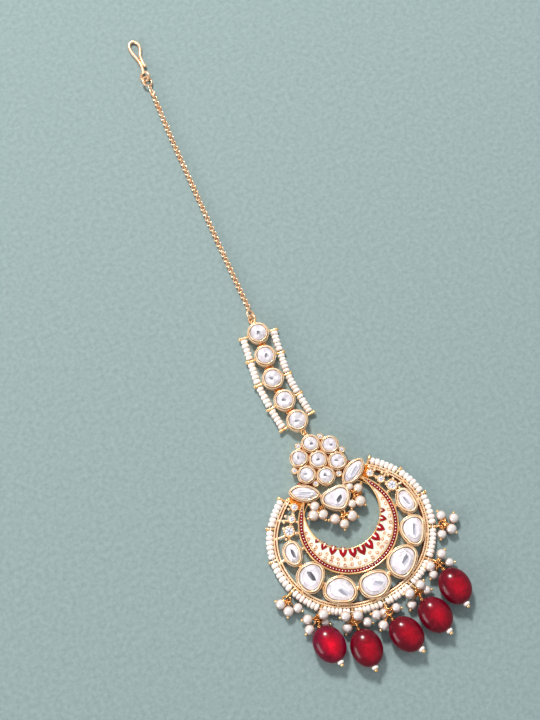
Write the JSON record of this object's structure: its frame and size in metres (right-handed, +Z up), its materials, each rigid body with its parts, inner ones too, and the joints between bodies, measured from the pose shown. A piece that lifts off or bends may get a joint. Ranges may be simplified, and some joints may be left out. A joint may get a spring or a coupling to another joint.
{
  "type": "maang tikka",
  "caption": "Hair ornament: chain with hair hook, strip of round stones between seed bead strings, crescent pendant with white stones, pearl clusters and red drops.",
  "frame": {"origin": "Middle of the bottom of the bounding box, on the surface that the ornament lies on.", "axes": "+Y runs along the ornament from the red drops to the hair hook, +Z points up from its back to its front, +X to the right seen from the front with the hook up."},
  "size_m": [0.0492, 0.1758, 0.0054],
  "materials": {
    "gold": "polished warm gold plate",
    "white_stone": "flat-cut clear glass over foil",
    "pearl": "soft pearl lustre",
    "seed_bead": "opaque cream white",
    "red_drop": "deep red, glossy",
    "cream_enamel": "glossy cream enamel with gold flecks",
    "red_enamel": "glossy red enamel with white dots"
  },
  "bodies": {
    "root": {"pendant_frame": "gold", "white_stone_1": "white_stone", "white_stone_2": "white_stone", "white_stone_3": "white_stone", "white_stone_4": "white_stone", "white_stone_5": "white_stone", "white_stone_6": "white_stone", "white_stone_7": "white_stone", "flower_stone_1": "white_stone", "flower_stone_2": "white_stone", "flower_stone_3": "white_stone", "flower_stone_4": "white_stone", "flower_stone_5": "white_stone", "flower_stone_6": "white_stone", "flower_stone_7": "white_stone", "marquise_stone_left": "white_stone", "marquise_stone_right": "white_stone", "pear_stone": "white_stone", "crescent_enamel": "cream_enamel", "band_enamel": "red_enamel", "strip_frame": "gold", "strip_stone_1": "white_stone", "strip_stone_2": "white_stone", "strip_stone_3": "white_stone", "strip_stone_4": "white_stone", "strip_stone_5": "white_stone", "strip_string_left": "seed_bead", "strip_string_right": "seed_bead", "rim_string": "seed_bead", "chain": "gold", "end_ring_1": "gold", "end_ring_2": "gold", "hook_ring": "gold", "hair_hook": "gold", "side_left_cluster": "pearl", "drop_1_cluster": "pearl", "drop_1_bead": "red_drop", "drop_1_pin": "gold", "drop_2_cluster": "pearl", "drop_2_bead": "red_drop", "drop_2_pin": "gold", "drop_3_cluster": "pearl", "drop_3_bead": "red_drop", "drop_3_pin": "gold", "drop_4_cluster": "pearl", "drop_4_bead": "red_drop", "drop_4_pin": "gold", "drop_5_cluster": "pearl", "drop_5_bead": "red_drop", "drop_5_pin": "gold", "side_right_cluster": "pearl", "pear_cluster_left": "pearl", "pear_cluster_middle": "pearl", "pear_cluster_right": "pearl"}
  },
  "joints": []
}
